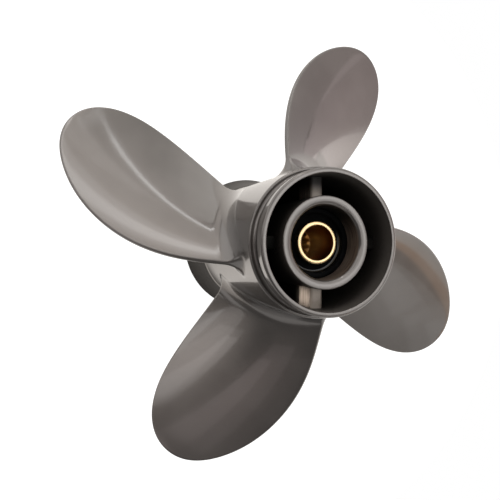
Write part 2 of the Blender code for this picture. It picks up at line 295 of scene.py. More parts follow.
def extrudeRing(bm, ring):
    # pulls a new ring out of an open one, in the same order
    edges = [bm.edges.get(pair) for pair in zip(ring, ring[1:] + ring[:1])]
    made = bmesh.ops.extrude_edge_only(bm, edges=edges)["geom"]
    fresh = {v for v in made if isinstance(v, bmesh.types.BMVert)}
    following = []
    for point in ring:
        following.append(next(e.other_vert(point) for e in point.link_edges if e.other_vert(point) in fresh))
    return following


def makeSleeve():
    s = sleeve
    chamfer, lead = s["chamfer"], s["lead"]
    bm = bmesh.new()
    count = s["splines"] * s["pointsPerSpline"]
    made = bmesh.ops.create_circle(bm, segments=count, radius=1)["verts"]
    first = sorted(made, key=lambda v: math.atan2(v.co.y, v.co.x) % (2 * math.pi))
    stations = [
        (sleeveFront, s["major"], s["minor"]),
        (s["splineEnd"] - s["leadIn"], s["major"], s["minor"]),
        (s["splineEnd"], s["major"], s["major"] - s["step"]),
        (s["splineEnd"] + s["step"], s["counterbore"], None),
        (sleeveRear - lead, s["counterbore"], None),
        (sleeveRear - lead / 4, s["counterbore"] + lead / 3, None),
        (sleeveRear, s["counterbore"] + lead, None),
        (sleeveRear, sleeveRadius - chamfer, None),
        (sleeveRear - chamfer * 0.3, sleeveRadius - chamfer * 0.3, None),
        (sleeveRear - chamfer, sleeveRadius, None),
        (sleeveFront + chamfer, sleeveRadius, None),
        (sleeveFront, sleeveRadius - chamfer, None),
    ]
    ring = first
    ringStation(bm, ring, *stations[0])
    for station in stations[1:]:
        ring = extrudeRing(bm, ring)
        ringStation(bm, ring, *station)
    loops = [bm.edges.get(pair) for side in (first, ring) for pair in zip(side, side[1:] + side[:1])]
    bmesh.ops.bridge_loops(bm, edges=loops)
    bmesh.ops.recalc_face_normals(bm, faces=bm.faces)
    return placed(bm, "brassSleeve", "brass", "spline_sleeve")


# blades: a flat grid is wrapped onto the pitch surface, thickened, and spread onto the barrel

blade = {
    "outline": [  # (radius, arc length from the middle line), along the trailing edge, tip, leading edge
        (28.7, 26.9), (26.9, 23.4), (59.2, 41.0), (90.1, 40.9), (111.3, 25.8),
        (122.5, 2.1), (101.2, -27.3), (34.7, -10.1), (28.7, -12.0),
    ],
    "firstAngle": 60,
    "middleHeight": 54.5,
    "middleRadius": 28.74,
    "rake": 0.1135,
    "rakeCurve": 0.00065,
    "pitch": 262.4,
    "pitchFall": 0.143,
    "rootThickness": 7.5,
    "tipThickness": 2.2,
    "thicknessPower": 1.3,
    "thinChord": 18,
    "rearCrown": 0.15,
    "rootEdge": 1.3,
    "tipEdge": 0.75,
    "edgeSquare": 2.8,
    "edgeSamples": 3000,
    "tipSamples": 4000,
    "tipSearch": (1600, 3800),
    "fillet": 7,
    "noseFillet": 0.4,
    "footLift": 0.02,
    "skirts": [(2.6, -0.7), (2, -0.03)],  # (past the fillet, height over the barrel's skin)
    "columns": 96,
    "filletRows": 12,
    "lowerRows": 14,
    "upperRows": 64,
    "lowerEnd": 62,
    "cornerRadius": 104,
}


def outlinePoint(share):
    # a smooth cubic curve that the outline's points steer
    points = blade["outline"]
    spans = len(points) - 3
    knots = [0] * 4 + list(range(1, spans)) + [spans] * 4
    at = min(max(share, 0), 1) * spans
    span = min(int(at), spans - 1) + 3
    near = [Vector(points[span - 3 + i]) for i in range(4)]
    for level in range(1, 4):
        for i in range(3, level - 1, -1):
            low, high = knots[span - 3 + i], knots[span + 1 + i - level]
            near[i] = near[i - 1].lerp(near[i], (at - low) / (high - low))
    return near[3]


def shareAtRadius(radius, inner, outer):
    # the outline's share where it crosses a radius, between an inner and an outer share
    for _ in range(40):
        middle = (inner + outer) / 2
        if outlinePoint(middle).x < radius:
            inner = middle
        else:
            outer = middle
    return (inner + outer) / 2


tipTries = (i / blade["tipSamples"] for i in range(*blade["tipSearch"]))
tipShare = max(tipTries, key=lambda share: outlinePoint(share).x)
tipRadius = outlinePoint(tipShare).x


def trailingAt(radius):
    return outlinePoint(shareAtRadius(radius, 0, tipShare)).y


def leadingAt(radius):
    return outlinePoint(shareAtRadius(radius, 1, tipShare)).y


def pitchAt(radius):
    return blade["pitch"] - blade["pitchFall"] * (radius - blade["middleRadius"])


def sectionAt(radius):
    # what a blade section needs to know at a radius
    trailing, leading = trailingAt(radius), leadingAt(radius)
    slope = math.atan(pitchAt(radius) / (2 * math.pi * radius))
    out = radius - blade["middleRadius"]
    middle = (trailing + leading) / 2
    height = blade["middleHeight"] - blade["rake"] * out + blade["rakeCurve"] * out ** 2
    height += pitchAt(radius) * middle / radius / (2 * math.pi)
    chord = (trailing - leading) / math.cos(slope)
    span = min(max((radius - hubShell["lipRadius"]) / (tipRadius - hubShell["lipRadius"]), 0), 1)
    edge = blade["rootEdge"] + (blade["tipEdge"] - blade["rootEdge"]) * span
    thick = (1 - span) ** blade["thicknessPower"] * (blade["rootThickness"] - blade["tipThickness"])
    thick = max(2 * edge, (blade["tipThickness"] + thick) * min(1, chord / blade["thinChord"]))
    return {"radius": radius, "middle": middle, "slope": slope, "height": height,
            "chord": chord, "edge": edge, "thick": thick}


def onSection(section, along, across, radius=None):
    # a point of a section on its cylinder; near the root the cylinder takes the barrel's taper
    slope = section["slope"]
    arc = section["middle"] + along * math.cos(slope) - across * math.sin(slope)
    height = section["height"] + along * math.sin(slope) + across * math.cos(slope)
    middleBarrel = (barrelRadius + hubShell["lipRadius"]) / 2
    share = (height - flangeTop) / (lipHeight - flangeTop)
    taper = barrelRadius + (hubShell["lipRadius"] - barrelRadius) * share - middleBarrel
    fitShare = 1 - (section["radius"] - middleBarrel) / (2 * blade["fillet"])
    wide = (radius or section["radius"]) + taper * min(max(0, fitShare), 1)
    turn = arc / section["radius"]
    return Vector((wide * math.cos(turn), wide * math.sin(turn), height))


def midSurface(radius, arc):
    section = sectionAt(radius)
    return onSection(section, (arc - section["middle"]) / math.cos(section["slope"]), 0)


def gridPlan():
    # (radius, arc, fillet share, lift) for each row and column of the blade's grid
    s = blade
    middleBarrel = (barrelRadius + hubShell["lipRadius"]) / 2
    rows = []
    shares = [0.5 - 0.5 * math.cos(math.pi * i / s["columns"]) for i in range(s["columns"] + 1)]
    # skirts under the barrel's skin, then the round of the fillet
    lowest = s["footLift"]
    skirts = [(1 + past / s["fillet"], lift) for past, lift in s["skirts"]]
    for i in range(s["filletRows"] + 1):
        turn = math.pi / 2 * (1 - i / s["filletRows"])
        skirts.append((1 - math.cos(turn), lowest + (s["fillet"] - lowest) * (1 - math.sin(turn))))
    for spread, lift in skirts:
        radius = middleBarrel + max(lift, 0)
        low, high = leadingAt(radius), trailingAt(radius)
        rows.append([(radius, low + (high - low) * share, spread, min(lift, 0)) for share in shares])
    # the lower part, each row at one radius
    start = middleBarrel + s["fillet"]
    for i in range(1, s["lowerRows"] + 1):
        radius = start + (s["lowerEnd"] - start) * i / s["lowerRows"]
        low, high = leadingAt(radius), trailingAt(radius)
        rows.append([(radius, low + (high - low) * share, 0, 0) for share in shares])
    # the upper part, a patch between the lower part, the two edges and the tip
    corners = [shareAtRadius(s["cornerRadius"], 1, tipShare), shareAtRadius(s["cornerRadius"], 0, tipShare)]
    starts = [shareAtRadius(s["lowerEnd"], 1, tipShare), shareAtRadius(s["lowerEnd"], 0, tipShare)]
    bottom = [Vector(point[:2]) for point in rows[-1]]
    top = [outlinePoint(corners[0] + (corners[1] - corners[0]) * share) for share in shares]
    for j in range(1, s["upperRows"] + 1):
        v = math.sin(math.pi / 2 * j / s["upperRows"])
        left = outlinePoint(starts[0] + (corners[0] - starts[0]) * v)
        right = outlinePoint(starts[1] + (corners[1] - starts[1]) * v)
        row = []
        for i, u in enumerate(shares):
            across = left.lerp(right, u)
            along = bottom[i].lerp(top[i], v)
            ends = bottom[0].lerp(bottom[-1], u).lerp(top[0].lerp(top[-1], u), v)
            point = across + along - ends
            row.append((min(point.x, tipRadius), point.y, 0, 0))
        rows.append(row)
    return rows


def makeBladeMesh():
    s = blade
    samples = s["edgeSamples"]
    rim = [midSurface(*outlinePoint(i / samples)) for i in range(samples + 1)]
    tree = KDTree(len(rim))
    for i, point in enumerate(rim):
        tree.insert(point, i)
    tree.balance()

    def edgeDistance(point):
        _, i, _ = tree.find(point)
        found = []
        for a, b in ((i - 1, i), (i, i + 1)):
            if a >= 0 and b < len(rim):
                spot, along = intersect_point_line(point, rim[a], rim[b])
                spot = rim[a].lerp(rim[b], min(max(along, 0), 1))
                found.append((point - spot).length)
        return min(found)

    plan = gridPlan()
    rowCount, columnCount = len(plan), s["columns"] + 1
    bm = bmesh.new()
    rear = bmesh.ops.create_grid(bm, x_segments=columnCount - 1, y_segments=rowCount - 1, size=1)["verts"]
    rear.sort(key=lambda v: (round(v.co.y, 5), round(v.co.x, 5)))
    twin = bmesh.ops.duplicate(bm, geom=bm.verts[:] + bm.edges[:] + bm.faces[:])["vert_map"]
    front = [twin[v] for v in rear]
    sections = {}
    for j, row in enumerate(plan):
        for i, (radius, arc, spread, lift) in enumerate(row):
            key = round(radius, 6)
            section = sections.get(key) or sections.setdefault(key, sectionAt(radius))
            along = (arc - section["middle"]) / math.cos(section["slope"])
            onEdge = i in (0, columnCount - 1) or j == rowCount - 1
            inside = 0 if onEdge else edgeDistance(onSection(section, along, 0))
            if j <= s["filletRows"] + len(s["skirts"]):
                inside = section["chord"] / 2 - abs(along)
            nose = max(1 - inside / section["edge"], 0)
            half = section["edge"] * (1 - nose ** s["edgeSquare"]) ** (1 / s["edgeSquare"])
            flat = max(section["chord"] / 2 - section["edge"], 0.01)
            crown = max(1 - (along / flat) ** 2, 0) * (section["thick"] - 2 * section["edge"])
            crown *= 1 - nose
            outward = Vector((math.copysign(nose, along), math.sqrt(max(1 - nose ** 2, 0))))
            grow = spread * s["fillet"]
            wideAlong = along + outward.x * grow * s["noseFillet"]
            index = j * columnCount + i
            up = half + s["rearCrown"] * crown + outward.y * grow
            down = half + (1 - s["rearCrown"]) * crown + outward.y * grow
            rear[index].co = onSection(section, wideAlong, up, radius + lift) * mm
            front[index].co = onSection(section, wideAlong, -down, radius + lift) * mm
    bottoms = []
    for side in (rear, front):
        foot = side[:columnCount]
        bottoms += [bm.edges.get(pair) for pair in zip(foot, foot[1:])]
    bmesh.ops.bridge_loops(bm, edges=bottoms)
    bmesh.ops.remove_doubles(bm, verts=bm.verts, dist=2 * weld * mm)
    bmesh.ops.recalc_face_normals(bm, faces=bm.faces)
    return bm


def makeBlade(number, master):
    bm = master.copy()
    turn = math.radians(blade["firstAngle"] + 90 * (number - 1))
    bmesh.ops.rotate(bm, cent=(0, 0, 0), matrix=Matrix.Rotation(turn, 3, "Z"), verts=bm.verts)
    return placed(bm, "blade" + str(number), "paint", "blade_" + str(number))


# making the pieces

paintPieces = [makeHubShell(), makeTube()]
webPieces = [makeRib(number) for number in range(1, 5)]
bladeMaster = makeBladeMesh()
paintPieces += [makeBlade(number, bladeMaster) for number in range(1, 5)]
bladeMaster.free()
rubberPieces = [makeBush()]
brassPieces = [makeSleeve()]


# node helpers and the effects that several materials share

def addNode(tree, kind, x, y, **settings):
    made = tree.nodes.new("ShaderNode" + kind)
    made.location = (x, y)
    for name, value in settings.items():
        setattr(made, name, value)
    return made


def feed(tree, socket, value):
    # takes another node's output, or a plain value
    if isinstance(value, bpy.types.NodeSocket):
        tree.links.new(value, socket)
    else:
        socket.default_value = value


def addMath(tree, operation, x, y, first, second):
    made = addNode(tree, "Math", x, y, operation=operation)
    feed(tree, made.inputs[0], first)
    feed(tree, made.inputs[1], second)
    return made.outputs[0]


def mixValue(tree, x, y, mask, base, over):
    made = addNode(tree, "Mix", x, y, data_type="FLOAT")
    for label, value in (("Factor", mask), ("A", base), ("B", over)):
        feed(tree, made.inputs[label], value)
    return made.outputs["Result"]


def mixColour(tree, x, y, mask, base, over):
    made = addNode(tree, "Mix", x, y, data_type="RGBA")
    feed(tree, made.inputs["Factor"], mask)
    for socket, colour in ((made.inputs[6], base), (made.inputs[7], over)):
        feed(tree, socket, colour if isinstance(colour, bpy.types.NodeSocket) else (*colour, 1))
    return made.outputs[2]


def softStep(tree, x, y, value, low, high, start=0.3, end=0.7):
    # goes softly from low to high while the value goes from start to end
    made = addNode(tree, "MapRange", x, y, interpolation_type="SMOOTHSTEP")
    given = {"Value": value, "From Min": start, "From Max": end, "To Min": low, "To Max": high}
    for label, amount in given.items():
        feed(tree, made.inputs[label], amount)
    return made.outputs["Result"]


def toned(tree, x, y, tone, dark, light):
    # softly from dark to light, by a tone from 0 to 1
    return mixColour(tree, x, y, softStep(tree, x - 200, y, tone, 0, 1), dark, light)


def alongSide(tree, x, y, side):
    # how far a point lies from the origin towards one side, in metres
    place = addNode(tree, "TexCoord", x - 200, y)
    reach = addNode(tree, "VectorMath", x, y, operation="DOT_PRODUCT")
    tree.links.new(place.outputs["Object"], reach.inputs[0])
    reach.inputs[1].default_value = side
    return reach.outputs["Value"]


def newGroup(name, inputs, outputs):
    # a shader node group with named float inputs and outputs
    tree = bpy.data.node_groups.new(name, "ShaderNodeTree")
    for label, value in inputs.items():
        socket = tree.interface.new_socket(label, in_out="INPUT", socket_type="NodeSocketFloat")
        socket.default_value = value
    for label in outputs:
        tree.interface.new_socket(label, in_out="OUTPUT", socket_type="NodeSocketFloat")
    given, out = tree.nodes.new("NodeGroupInput"), tree.nodes.new("NodeGroupOutput")
    given.location, out.location = (-900, 0), (600, 0)
    return tree, given, out


def noiseOn(tree, x, y, scale, detail, roughness):
    place = addNode(tree, "TexCoord", x - 200, y)
    noise = addNode(tree, "TexNoise", x, y)
    noise.inputs["Detail"].default_value = detail
    noise.inputs["Roughness"].default_value = roughness
    tree.links.new(place.outputs["Object"], noise.inputs["Vector"])
    tree.links.new(scale, noise.inputs["Scale"])
    return noise.outputs["Fac"]


def makeSurfaceGrain():
    # fine skin grain on a slow casting wave: a height for a bump, and a tone from 0 to 1
    tree, given, out = newGroup("surfaceGrain", {"Grain Scale": 900, "Wave Scale": 60, "Wave Share": 0.5},
                                ["Height", "Tone"])
    grain = noiseOn(tree, -500, 200, given.outputs["Grain Scale"], 3, 0.6)
    wave = noiseOn(tree, -500, -150, given.outputs["Wave Scale"], 2, 0.5)
    tree.links.new(mixValue(tree, -100, 100, given.outputs["Wave Share"], grain, wave), out.inputs["Height"])
    tree.links.new(wave, out.inputs["Tone"])
    return tree


def makeEdgeWear():
    # where edges stand proud and get rubbed, broken up by noise
    tree, given, out = newGroup("edgeWear", {"Start": 0.53, "Full": 0.62, "Breakup Scale": 250}, ["Mask"])
    shape = addNode(tree, "NewGeometry", -500, 200)
    patches = noiseOn(tree, -500, -150, given.outputs["Breakup Scale"], 4, 0.65)
    start, full = given.outputs["Start"], given.outputs["Full"]
    edge = softStep(tree, -250, 200, shape.outputs["Pointiness"], 0, 1, start, full)
    tree.links.new(addMath(tree, "MULTIPLY", 0, 50, edge, patches), out.inputs["Mask"])
    return tree


def makeSettledDust():
    # round specks, at most one to a cell of the pattern, and fewer of them as the rarity rises
    tree, given, out = newGroup("settledDust", {"Speck Scale": 300, "Speck Size": 0.12, "Rarity": 0.6},
                                ["Mask"])
    place = addNode(tree, "TexCoord", -900, -200)
    cells = addNode(tree, "TexVoronoi", -650, 100)
    tree.links.new(place.outputs["Object"], cells.inputs["Vector"])
    tree.links.new(given.outputs["Speck Scale"], cells.inputs["Scale"])
    inside = addMath(tree, "LESS_THAN", -400, 150, cells.outputs["Distance"], given.outputs["Speck Size"])
    pick = addNode(tree, "SeparateColor", -400, -50)
    tree.links.new(cells.outputs["Color"], pick.inputs["Color"])
    chosen = addMath(tree, "GREATER_THAN", -200, -50, pick.outputs["Red"], given.outputs["Rarity"])
    tree.links.new(addMath(tree, "MULTIPLY", 100, 50, inside, chosen), out.inputs["Mask"])
    return tree


def makeZone():
    # one inside a ring round the shaft, between two radii and two heights in metres
    tree, given, out = newGroup("zone", {"Inner": 0, "Outer": 1, "Low": -1, "High": 1}, ["Mask"])
    place = addNode(tree, "TexCoord", -1100, 0)
    flat = addNode(tree, "VectorMath", -900, 100, operation="MULTIPLY")
    tree.links.new(place.outputs["Object"], flat.inputs[0])
    flat.inputs[1].default_value = (1, 1, 0)
    radius = addNode(tree, "VectorMath", -700, 100, operation="LENGTH")
    tree.links.new(flat.outputs["Vector"], radius.inputs[0])
    away, height = radius.outputs["Value"], alongSide(tree, -700, -100, (0, 0, 1))
    mask = None
    for i, (limit, value) in enumerate((("Inner", away), ("Outer", away), ("Low", height), ("High", height))):
        test = "GREATER_THAN" if limit in ("Inner", "Low") else "LESS_THAN"
        passed = addMath(tree, test, -450, 200 - 150 * i, value, given.outputs[limit])
        mask = passed if mask is None else addMath(tree, "MULTIPLY", -200, 200 - 150 * i, mask, passed)
    tree.links.new(mask, out.inputs["Mask"])
    return tree


def makeDrawnStreaks():
    # streaks such as a mould leaves: along the shaft or across it, by the two stretches
    tree, given, out = newGroup("drawnStreaks", {"Streak Scale": 700, "Across": 1, "Along": 0.07}, ["Tone"])
    place = addNode(tree, "TexCoord", -700, 100)
    stretch = addNode(tree, "CombineXYZ", -700, -100)
    for axis, label in (("X", "Across"), ("Y", "Across"), ("Z", "Along")):
        tree.links.new(given.outputs[label], stretch.inputs[axis])
    stretched = addNode(tree, "VectorMath", -500, 0, operation="MULTIPLY")
    tree.links.new(place.outputs["Object"], stretched.inputs[0])
    tree.links.new(stretch.outputs["Vector"], stretched.inputs[1])
    noise = addNode(tree, "TexNoise", -300, 0)
    noise.inputs["Detail"].default_value = 3
    tree.links.new(stretched.outputs["Vector"], noise.inputs["Vector"])
    tree.links.new(given.outputs["Streak Scale"], noise.inputs["Scale"])
    tree.links.new(noise.outputs["Fac"], out.inputs["Tone"])
    return tree


sharedEffects = {"grain": makeSurfaceGrain(), "wear": makeEdgeWear(), "dust": makeSettledDust(),
                 "zone": makeZone(), "streaks": makeDrawnStreaks()}
print("shared effects made:", len(sharedEffects))


def useEffect(tree, effect, x, y, **values):
    made = addNode(tree, "Group", x, y, node_tree=sharedEffects[effect])
    for name, value in values.items():
        made.inputs[name.replace("_", " ")].default_value = value
    return made


def newMaterial(name, **finish):
    material = bpy.data.materials.new(name)
    material.use_nodes = True
    tree = material.node_tree
    shader = tree.nodes["Principled BSDF"]
    for label, value in finish.items():
        shader.inputs[label.replace("_", " ")].default_value = value
    return material, tree, shader


def addBump(tree, shader, height, depth, strength):
    bump = addNode(tree, "Bump", -250, -350)
    bump.inputs["Distance"].default_value = depth * mm
    bump.inputs["Strength"].default_value = strength
    tree.links.new(height, bump.inputs["Height"])
    tree.links.new(bump.outputs["Normal"], shader.inputs["Normal"])


castWear = {"Start": 0.56, "Full": 0.72, "Breakup_Scale": 300}
castStreaks = {"Streak_Scale": 900, "Along": 1}
clearCoat = {"Coat_IOR": 1.5, "IOR": 1.45}
zoneMargin = 0.1  # a zone reaches this far past the skin it takes in, in millimetres

paint = {
    "dark": (0.134, 0.12, 0.11),
    "light": (0.152, 0.137, 0.126),
    "bare": (0.5, 0.48, 0.45),
    "speck": (0.1, 0.06, 0.035),
    "metal": 0.85,
    "roughLow": 0.29,
    "roughHigh": 0.34,
    "grainDepth": 0.02,
    "grainStrength": 0.6,
    "passageOuter": 28.9,
    "boreOuter": 15.9,
    "insideTop": 104.6,
    "passageTop": 109.4,
    # painted shade: the passages are dark deep down and lighter towards the mouth, where light falls in
    "passageShade": (0.03, 0.026, 0.023),
    "passageShadeNearMouth": (0.085, 0.075, 0.066),
    "passageShadeFull": 98,
    "passageShadeEnd": 109,
    "passageShadeMetal": 0.1,
    "passageShadeRough": 0.5,
    # painted shade on the front flange: a darker colour, with less metal, more roughness and little coat
    "flangeShade": (0.042, 0.037, 0.033),
    "flangeShadeMetal": 0.2,
    "flangeShadeRough": 0.65,
    "flangeShadeInner": 34,
    "flangeShadeOuter": 60,
    "flangeShadeTop": 20.5,
    "flangeShadeCoat": 0.06,
    "boreDark": (0.06, 0.042, 0.032),
    "boreLight": (0.14, 0.108, 0.086),
    "webDark": (0.2, 0.165, 0.135),
    "webLight": (0.42, 0.36, 0.305),
    # painted shade: the bore is dark on the side away from this direction
    "boreSide": (0.8, -0.6, 0),
    "boreSideShadeFull": 1,
    "boreSideLit": 12,
    "boreSideShade": (0.008, 0.007, 0.006),
    "dullMetal": 0.3,
    "dullRough": 0.48,
    "dullCoat": 0.1,
}


def addSkin(tree, x, y):
    # the painted skin, alike on every casting piece: its colour, roughness and bump height
    s = paint
    grain = useEffect(tree, "grain", x, y, Grain_Scale=1100, Wave_Scale=45, Wave_Share=0.35)
    wear = useEffect(tree, "wear", x, y - 200, **castWear)
    dust = useEffect(tree, "dust", x, y - 400, Speck_Scale=45, Speck_Size=0.018, Rarity=0.72)
    tone = toned(tree, x + 300, y, grain.outputs["Tone"], s["dark"], s["light"])
    worn = mixColour(tree, x + 450, y, wear.outputs["Mask"], tone, s["bare"])
    flecked = mixColour(tree, x + 600, y, dust.outputs["Mask"], worn, s["speck"])
    rough = softStep(tree, x + 450, y - 400, grain.outputs["Tone"], s["roughLow"], s["roughHigh"])
    return flecked, rough, grain.outputs["Height"]


def finishPaint(tree, shader, zone, colours, **pairs):
    # goes from the first of each pair to the second where the zone is
    tree.links.new(mixColour(tree, -300, 300, zone, *colours), shader.inputs["Base Color"])
    for row, (label, pair) in enumerate(pairs.items()):
        tree.links.new(mixValue(tree, -300, -150 * row, zone, *pair), shader.inputs[label.replace("_", " ")])


def makePaint():
    # warm grey metallic paint under a clear coat: painted shade in the passages, lighter towards the mouth;
    # brown and dull in the bore, with painted shade on one side of it; and painted shade on the front flange,
    # which is rough and dull there too
    s = paint
    material, tree, shader = newMaterial("warmGreyPaint", Coat_Roughness=0.075, **clearCoat)
    skin, rough, grain = addSkin(tree, -1500, 300)
    passage = useEffect(tree, "zone", -1500, -400, Inner=(tubeRadius - zoneMargin) * mm,
                        Outer=s["passageOuter"] * mm, High=s["passageTop"] * mm).outputs["Mask"]
    bore = useEffect(tree, "zone", -1500, -600, Outer=s["boreOuter"] * mm,
                     High=s["insideTop"] * mm).outputs["Mask"]
    streaks = useEffect(tree, "streaks", -1500, -800, Across=0.1, **castStreaks)
    brown = toned(tree, -700, 0, streaks.outputs["Tone"], s["boreDark"], s["boreLight"])
    # painted shade on one side of the bore
    boreLit = softStep(tree, -900, -150, alongSide(tree, -1100, -150, s["boreSide"]), 0, 1,
                     s["boreSideShadeFull"] * mm, s["boreSideLit"] * mm)
    brown = mixColour(tree, -600, 0, boreLit, s["boreSideShade"], brown)
    # painted shade on the front flange
    flange = useEffect(tree, "zone", -1500, -1000, Inner=s["flangeShadeInner"] * mm, Outer=s["flangeShadeOuter"] * mm,
                       High=s["flangeShadeTop"] * mm).outputs["Mask"]
    flangeShaded = mixColour(tree, -600, 450, flange, skin, s["flangeShade"])
    # painted shade in the passages, lighter towards the mouth as painted light
    height = alongSide(tree, -1300, -1200, (0, 0, 1))
    mouthLight = softStep(tree, -1100, -1200, height, 0, 1, s["passageShadeFull"] * mm, s["passageShadeEnd"] * mm)
    passageShaded = mixColour(tree, -900, -1200, mouthLight, s["passageShade"], s["passageShadeNearMouth"])
    colour = mixColour(tree, -500, 300, passage, flangeShaded, passageShaded)
    metal = mixValue(tree, -500, 0, passage, mixValue(tree, -650, 0, flange, s["metal"], s["flangeShadeMetal"]),
                     s["passageShadeMetal"])
    rough = mixValue(tree, -500, -120, passage, mixValue(tree, -650, -120, flange, rough, s["flangeShadeRough"]),
                     s["passageShadeRough"])
    coat = mixValue(tree, -500, -250, passage, mixValue(tree, -650, -250, flange, 1, s["flangeShadeCoat"]), 0)
    finishPaint(tree, shader, bore, (colour, brown), Metallic=(metal, s["dullMetal"]),
                Roughness=(rough, s["dullRough"]), Coat_Weight=(coat, s["dullCoat"]))
    addBump(tree, shader, grain, s["grainDepth"], s["grainStrength"])
    return material


# painted shade on the webs: deep down, at the upper web's outer end, and the black of the side webs
webShade = {"topStart": 20.5, "topEnd": 26.5, "deepFull": 84.1, "deepEnd": 84.9, "shine": 0.1, "rough": 0.6,
           "dark": (0.006, 0.0055, 0.005), "light": (0.02, 0.018, 0.016)}


def makeWebPaint():
    # thin, dull paint on the upper and the lower web, with painted shade deep down and at the upper one's
    # outer end
    s = paint
    material, tree, shader = newMaterial("dullWebPaint", Roughness=s["dullRough"], Coat_Roughness=0.04,
                                         **clearCoat)
    streaks = useEffect(tree, "streaks", -1500, 0, Across=0.12, **castStreaks)
    tan = toned(tree, -900, 100, streaks.outputs["Tone"], s["webDark"], s["webLight"])
    wear = useEffect(tree, "wear", -1500, -200, **castWear)
    worn = mixColour(tree, -700, 100, wear.outputs["Mask"], tan, s["bare"])
    # painted shade deep down and towards the upper web's outer end
    upward, height = alongSide(tree, -1300, -600, (0, 1, 0)), alongSide(tree, -1300, -800, (0, 0, 1))
    top = softStep(tree, -1100, -600, upward, 0, 1, webShade["topStart"] * mm, webShade["topEnd"] * mm)
    deep = softStep(tree, -1100, -800, height, 1, 0, webShade["deepFull"] * mm, webShade["deepEnd"] * mm)
    passageShaded = addMath(tree, "MAXIMUM", -900, -500, top, deep)
    finishPaint(tree, shader, passageShaded, (worn, s["passageShade"]), Metallic=(s["dullMetal"], s["passageShadeMetal"]),
                Coat_Weight=(s["dullCoat"], 0))
    addBump(tree, shader, streaks.outputs["Tone"], s["grainDepth"], s["grainStrength"])
    return material


def makeShadedWebPaint():
    # the two side webs are black, as painted shade
    s = webShade
    material, tree, shader = newMaterial("shadedWebPaint", Specular_IOR_Level=s["shine"], Roughness=s["rough"])
    streaks = useEffect(tree, "streaks", -900, 100, Across=0.12, **castStreaks)
    tone = toned(tree, -450, 200, streaks.outputs["Tone"], s["dark"], s["light"])
    tree.links.new(tone, shader.inputs["Base Color"])
    addBump(tree, shader, streaks.outputs["Tone"], paint["grainDepth"], paint["grainStrength"])
    return material


rubber = {"dark": (0.002, 0.002, 0.0024), "light": (0.005, 0.005, 0.0055), "rubbed": (0.01, 0.01, 0.011),
          "dust": (0.02, 0.018, 0.016), "roughLow": 0.6, "roughHigh": 0.8, "smoothSide": (0.5, -0.87, 0),
          "smoothFull": 7, "grainDepth": 0.04, "grainStrength": 0.4}


def makeRubber():
    # black and dull, with a smooth round at the foot of the recess, on its lower side
    s = rubber
    material, tree, shader = newMaterial("blackRubber", IOR=1.5, Specular_IOR_Level=0.04, Coat_Roughness=0.15)
    grain = useEffect(tree, "grain", -900, 200, Grain_Scale=2600, Wave_Scale=160, Wave_Share=0.4)
    wear = useEffect(tree, "wear", -900, 0, Start=0.54, Full=0.7, Breakup_Scale=700)
    dust = useEffect(tree, "dust", -900, -200, Speck_Scale=380, Speck_Size=0.06, Rarity=0.9)
    foot = bushRear - bush["depth"]
    smooth = useEffect(tree, "zone", -900, -400, Inner=(bush["recess"] - bush["soft"]) * mm,
                       Outer=(bush["recess"] + zoneMargin / 2) * mm, Low=(foot - zoneMargin) * mm,
                       High=(foot + 2 * bush["soft"]) * mm).outputs["Mask"]
    tone = toned(tree, -600, 200, grain.outputs["Tone"], s["dark"], s["light"])
    rubbed = mixColour(tree, -450, 150, wear.outputs["Mask"], tone, s["rubbed"])
    dusty = mixColour(tree, -300, 100, dust.outputs["Mask"], rubbed, s["dust"])
    tree.links.new(dusty, shader.inputs["Base Color"])
    downward = alongSide(tree, -900, -600, s["smoothSide"])
    lower = softStep(tree, -750, -400, downward, 0, 1, 0, s["smoothFull"] * mm)
    shiny = addMath(tree, "MULTIPLY", -600, -400, smooth, lower)
    tree.links.new(shiny, shader.inputs["Coat Weight"])
    tree.links.new(softStep(tree, -300, -100, grain.outputs["Height"], s["roughLow"], s["roughHigh"]),
                   shader.inputs["Roughness"])
    addBump(tree, shader, grain.outputs["Height"], s["grainDepth"], s["grainStrength"])
    return material


brass = {"bright": (0.82, 0.62, 0.35), "brown": (0.62, 0.35, 0.14), "rubbed": (0.92, 0.76, 0.5),
         "grooves": 1100, "grooveWander": 0.4, "grooveDepth": 0.005, "grooveStrength": 0.4, "tarnish": 0.35,
         "roughLow": 0.2, "roughHigh": 0.3, "roughBore": 0.32, "roughDeep": 0.5, "deepFull": 77,
         # in the bore: a painted highlight deep down, and a dark brown as painted shade near its mouth and at
         # its upper side
         "deepEnd": 91, "outerStart": 86.5, "outerFull": 94, "upperStart": 1.5, "upperFull": 7,
         "glow": (1, 0.78, 0.42), "boreShade": (0.3, 0.12, 0.04)}


